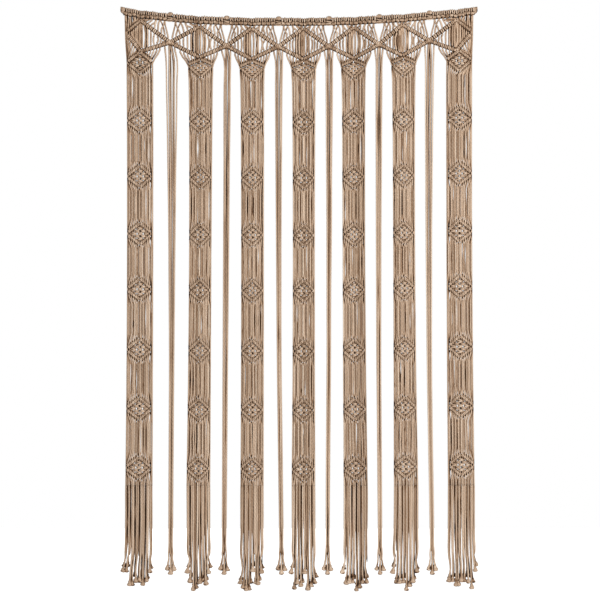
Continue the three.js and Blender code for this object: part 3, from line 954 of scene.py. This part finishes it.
def end_knot(cord, x, y, z, skein, size=1.0, lean=0.0):
    """An overhand knot with its foot at z, shaped like a bell, with the cord going in above.
    It leans out by its height times lean."""
    twist = chance.random() * 2 * math.pi
    size *= 1 + chance.normal(0, BELL_VARIES)
    cord.to(x - lean * 30 * size, y, z + 30 * size, 4)
    for height, radius in BELL[::-1]:
        up = height * size
        cord.to(x - lean * up, y, z + up, 1, max(radius - 0.8, FREE) * size)
    skein.add(cord)
    turns = Cord(cord.tone)
    steps = 20
    for i in range(steps + 1):
        share = i / steps
        height = mix(2.6, 15.0, share)
        radius = np.interp(height, *zip(*BELL))
        thick = mix(2.3, 1.5, share)
        turn = twist + share * BELL_TURNS * 2 * math.pi
        reach = (radius - thick * 0.7) * size
        across = reach * math.cos(turn) - lean * height * size
        turns.to(x + across, y + reach * math.sin(turn), z + height * size, 1, thick)
    skein.add(turns)


END_DEPTHS = (-7.0, 4.5, -2.5, 8.5)  # of the end knots, in turn
END_SIZES = (1.28, 1.14)  # of the end knots in front and behind
FRINGE_CORD = 2.7  # half the thickness of the fringe's cords, slacker than those above
BUNDLED = 0.4  # how far cords that end at one knot of FRINGES close up above it


def hang_behind(cord, x, top, y, bundles, skein):
    """Takes a hidden cord of the fringe down to its thin end behind the nearest bundle."""
    foot = HEM + chance.uniform(85, 190)
    nearest = bundles[np.argmin(np.abs(bundles - x))]
    for share in (0.25, 0.5, 0.75, 1.0):
        place = mix(x, nearest, share**2) + chance.normal(0, 0.7)
        cord.to(place, y, mix(top, foot, share), 2, BACKING_CORD if share < 1 else 0.9)
    skein.add(cord)


def fringe(unit, cords, backing, across, depth, skein):
    """A column's cords from its end to their end knots, in the groups they end in above."""
    reach_left, reach_right, ends = FRINGES[unit - 1]
    strip = levels(f"fringe_{unit}")
    left, right = strip[0, 1], strip[0, 2]
    middle = (left + right) / 2
    count = len(cords)
    numbers = np.arange(count)
    hanging = [cord.cut() for cord in cords]
    nearest = np.round(numbers / (count - 1) * (len(ends) - 1)).astype(int)
    spread = middle + mix(-reach_left, reach_right, numbers / (count - 1))
    bundle = np.array([spread[nearest == knot].mean() for knot in nearest])
    straight = side_by_side(left, right, count) + across
    bunches = chance.normal(0, 1.0, len(ends))[nearest]
    for share in (0.12, 0.4, 0.65, 0.9):
        z = mix(COLUMN_END, HEM + 95, share)
        places = mix(straight, spread, 0.35 * share**3) + bunches * share**2
        places += (bundle - spread) * BUNDLED * share**2
        for cord, x, y in zip(hanging, places + chance.normal(0, 0.25, count), depth):
            cord.to(x, y + chance.normal(0, 0.2), z, 3, FRINGE_CORD)
    # Cords behind the rest, in darker tones: painted shade between the bundles.
    for hidden in backing:
        cord = hidden.cut()
        x = cord.points[0][0]
        hang_behind(cord, x, COLUMN_END, BACKING_Y, bundle, skein)
    for x in np.linspace(left + 10, right - 10, 4):
        cord = Cord(tones=BACKING_SHADED_TONES)
        cord.to(x, 6.0, COLUMN_END - 40, 1, 1.2)
        hang_behind(cord, x, COLUMN_END - 40, 6.0, bundle, skein)
    for i, cord in enumerate(hanging):
        in_front = i % 2 == 0
        above = ends[nearest[i]] + (0 if in_front else 8 + 12 * chance.random())
        x = mix(spread[i], bundle[i], 0.3) + bunches[i] * 0.5 + chance.normal(0, 0.5)
        lean = 0.22 * ((spread[i] - middle) / max(reach_left, reach_right)) ** 3
        end_knot(cord, x, END_DEPTHS[i % 4], HEM + above, skein, END_SIZES[i % 2], lean)


# ---- drops
DROP_LEVELS = (-135, -210, -320, -480, -650, -850, -1050, -1300, -1500, -1600, -1640)
DROP_BEHIND = (-1.5, 1.5, -3.0, 3.0)  # where the cords behind start, from the crossing
DROP_KNOT = 1.25  # size of its end knots


def drop(number, cords, skein):
    """The loose cords below a crossing, and the crossing itself. More cords hang behind the
    four that show, and stop above their end knots."""
    x = knob_x(number)
    top = edge_height(x) - CROSSING
    strip = levels(f"drop_{number}")
    strip = strip[(strip[:, 0] < top - 8) & (strip[:, 2] - strip[:, 1] > 12)]
    strip = strip[(strip[:, 0] > DROP_FORK) | (strip[:, 0] < DROP_FORK - 3)]
    knot = Cord()
    hitch(knot, Bar((x - 4, top + 1.5), (x + 4, top - 1.5)), 0.5, 9.0, 2.0)
    skein.add(knot)
    hanging = [cord.cut() for cord in cords]
    # Cords behind the four that show, in darker tones: painted shade.
    for aside in DROP_BEHIND:
        behind = Cord(tones=BEHIND_SHADED_TONES)
        behind.to(x + aside, 4.0, top, 1)
        hanging.append(behind)
    for i, cord in enumerate(hanging):
        sway = 0.0
        for height in DROP_LEVELS:
            left, right = sides_at(strip, height)
            left, right = left - 0.7, right + 0.7
            sway = 0.6 * sway + chance.normal(0, 0.45)
            width, middle = right - left, (left + right) / 2
            close = min((width - CORD) / 3, 4.7 + 0.3 * max(width - 24, 0))
            inside = min(2.6, width / 8) + 0.1 * max(width - 24, 0)
            offsets = (left + FREE, left + FREE + close, right - FREE - close, right - FREE)
            offsets += (middle - inside, middle + inside)
            offsets += (mix(left, right, 0.3), mix(left, right, 0.7))
            place = min(max(offsets[i] + sway, left + FREE), right - FREE)
            y = 4.0 if i > 3 else -1.3 if i in (0, 3) else 0.4
            cord.to(place, y + chance.normal(0, 0.3), height, 3)
        if i > 3:
            cord.to(place, 3.0, DROP_LEVELS[-1] - 14, 2)
            skein.add(cord)
        else:
            aside, depth, above = DROP_ENDS[i]
            foot = middle + aside
            cord.to(mix(place, foot, 0.25), y, DROP_LEVELS[-1] - 22, 2)
            end_knot(cord, foot, depth, HEM + above, skein, DROP_KNOT, aside / 75)


# ---- knobs and corners
def knob(number):
    """A round knot on the band: a ball of upright turns, a slanting turn round its foot, and
    the carrying cord bare below it."""
    skein = Skein()
    x = knob_x(number)
    top = edge_height(x)
    centre = top - 3.2
    for across in (-6.4, -3.3, 0, 3.3, 6.4):
        turn = Cord()
        bulge = math.sqrt(1 - (across / 7.8) ** 2)
        for i in range(15):
            angle = math.radians(mix(-215, 125, i / 14))
            y = -5.8 * bulge * math.cos(angle)
            z = centre + 5.4 * bulge * math.sin(angle)
            turn.to(x + across + 1.1 * math.sin(angle), y, z, 1, 2.3)
        skein.add(turn)
    core = Cord()
    for height, radius in ((4.5, 2.5), (2.5, 5.0), (0, 6.4), (-2.5, 5.2), (-5.0, 3.0)):
        core.to(x, 0, centre + height, 1, radius)
    skein.add(core)
    for depth in BAND_ROWS:
        skein.add(carrying_cord(x - 9.5, x + 9.5, depth, 1.2))
    arcs = ((13.0, 1.6, 8.8, -1.8, 2.3), (17.6, 2.2, 8.8, 1.0, 2.5), (21.4, 3.2, 11.5, 0.0, 2.1))
    for depth, sag, reach, slope, radius in arcs:
        arc = Cord()
        for share in np.linspace(-1, 1, 13):
            z = top - depth - sag * (1 - share**2) + slope * share
            arc.to(x + reach * share, 1.5 - 7.0 * math.sqrt(max(1 - share**2, 0)), z, 1, radius)
        skein.add(arc)
    return skein.build(f"knob_{number}", [f"heading_knot_{number}"])


def corner(side, name):
    """The band's end: the carrying cords turn back in shrinking turns."""
    skein = Skein()
    root = HALF_WIDTH - CORNER_ROLL
    coil = Cord(0.5)
    turns, per_turn = 2.5, 14
    for i in range(int(turns * per_turn) + 1):
        share = i / (turns * per_turn)
        angle = share * turns * 2 * math.pi
        x = root - 0.5 + share * 8.5
        reach = mix(10.0, 7.6, share)
        z = edge_height(x) - mix(12.5, 9.6, share)
        coil.to(side * x, 4.3 * math.cos(angle), z + reach * math.sin(angle), 1, 2.05)
    skein.add(coil)
    # Near-black cores inside the roll: painted shade.
    for lift in (-5.0, 0, 5.0):
        core = Cord(SHADE_TONE)
        core.to(side * (root - 1), 0, edge_height(root) - 13 + lift, 1, 3.2)
        core.to(side * (HALF_WIDTH - 2), 0, edge_height(HALF_WIDTH) - 9.6 + lift * 0.7, 1, 2.6)
        skein.add(core)
    return skein.build(name, [f"corner_roll_{name.split('_')[1]}"])


def curtain():
    """Builds all the pieces, and lists for each panel the pieces that hang with it."""
    drops = {number: {} for number in range(1, len(APEXES))}
    panels, fringes = [], []
    for unit in range(1, len(APEXES) + 1):
        skein = Skein()
        cords, loose, left_edge, right_edge = net_cords(unit, skein)
        groups = column_cords(unit, cords, left_edge, right_edge, skein)
        for cord in [*cords, *loose[-1], *loose[1]]:
            skein.add(cord)
        if not left_edge:
            drops[unit - 1][1] = loose[-1]
        if not right_edge:
            drops[unit][-1] = loose[1]
        nodes = [f"{part}_{unit}" for part in ("heading", "net", "column")]
        panels.append(skein.build(f"panel_{unit}", nodes))
        ends = Skein()
        fringe(unit, cords, *groups, ends)
        fringes.append(ends.build(f"fringe_cords_{unit}", [f"fringe_{unit}"]))

    falls, knobs = [], []
    for number, sides in drops.items():
        skein = Skein()
        left, right = sides[-1], sides[1]
        drop(number, [left[0], left[1], right[1], right[0]], skein)
        falls.append(skein.build(f"drop_cords_{number}", [f"drop_{number}"]))
        knobs.append(knob(number))
    corners = [corner(-1, "corner_left"), corner(1, "corner_right")]

    for i, panel in enumerate(panels):
        going = [fringes[i]]
        going += [falls[i], knobs[i]] if i < len(falls) else [corners[1]]
        going += [corners[0]] if i == 0 else []


# ---- stage, light and camera
FLOOR_SIZE = 4.0  # from its middle to its edges, in metres
FLOOR_GAP = 0.08  # below the hem
FLOOR_GLOW = 0.45  # makes the lit floor white to the camera, but not its shadow


def blended(nodes, links, hidden, shown, output):
    """Shows a surface or world in one way to the camera and in gloss, and in another to the
    light that reaches the curtain."""
    path = nodes.new("ShaderNodeLightPath")
    seen = nodes.new("ShaderNodeMath")
    seen.operation = "MAXIMUM"
    links.new(path.outputs["Is Camera Ray"], seen.inputs[0])
    links.new(path.outputs["Is Glossy Ray"], seen.inputs[1])
    blend = nodes.new("ShaderNodeMixShader")
    links.new(seen.outputs[0], blend.inputs["Fac"])
    links.new(hidden, blend.inputs[1])
    links.new(shown, blend.inputs[2])
    links.new(blend.outputs["Shader"], nodes[output].inputs["Surface"])


def stage():
    """A pale floor under the curtain, white to the camera but for the shadow on it."""
    mesh = bpy.data.meshes.new("floor")
    z = CAD_BOUNDS[0][2] - FLOOR_GAP
    rim = [(x * FLOOR_SIZE, y * FLOOR_SIZE, z) for x, y in ((-1, -1), (1, -1), (1, 1), (-1, 1))]
    mesh.from_pydata(rim, [], [(0, 1, 2, 3)])
    floor = placed("floor", mesh)
    material, nodes, links = noded(bpy.data.materials.new("pale_floor"))
    shader = put(nodes["Principled BSDF"], {"Base Color": (0.9, 0.9, 0.9, 1), "Roughness": 0.9})
    glow = put(nodes.new("ShaderNodeEmission"), {"Strength": FLOOR_GLOW})
    add = nodes.new("ShaderNodeAddShader")
    links.new(shader.outputs["BSDF"], add.inputs[0])
    links.new(glow.outputs["Emission"], add.inputs[1])
    blended(nodes, links, shader.outputs["BSDF"], add.outputs["Shader"], "Material Output")
    mesh.materials.append(material)


# Place, size and power of each lamp; all look at the curtain's middle.
LAMPS = {
    "key": ((2.4, -5.0, 1.4), 2.0, 320),
    "fill": ((-3.0, -5.0, -1.0), 2.5, 55),
    "back": ((-1.8, 5.0, 0.4), 3.0, 190),
}
LOOKED_AT = (0, 0, -0.85)
AMBIENT = 0.15  # of the world's light, which is white to the camera


def lights():
    """Soft lamps in front and behind, and an even, dim world."""
    for name, (place, size, power) in LAMPS.items():
        lamp = bpy.data.lights.new(name, "AREA")
        lamp.size, lamp.energy = size, power
        aim = np.array(LOOKED_AT) - np.array(place)
        pitch = math.atan2(math.hypot(aim[0], aim[1]), -aim[2])
        placed(name, lamp, place, (pitch, 0, math.atan2(-aim[0], aim[1])))
    bpy.context.scene.world, nodes, links = noded(bpy.data.worlds.new("studio"))
    ambient = put(nodes["Background"], {"Color": (1, 1, 1, 1), "Strength": AMBIENT}).outputs[0]
    white = put(nodes.new("ShaderNodeBackground"), {"Color": (1, 1, 1, 1)}).outputs[0]
    blended(nodes, links, ambient, white, "World Output")
    bpy.context.scene.view_settings.view_transform = "Standard"


VIEW_WIDTH = 1.860  # width and height of what the camera shows at the curtain
VIEW_CENTRE = (0.0031, -0.8754)  # x and z
LENS = 200  # long, as the photo shows hardly any perspective


def camera():
    view = bpy.data.cameras.new("camera")
    view.lens = LENS
    view.sensor_width = 36
    view.clip_end = 100
    place = VIEW_CENTRE[0], -VIEW_WIDTH * LENS / view.sensor_width, VIEW_CENTRE[1]
    bpy.context.scene.camera = placed("camera", view, place, (math.pi / 2, 0, 0))


camera()
curtain()
stage()
lights()
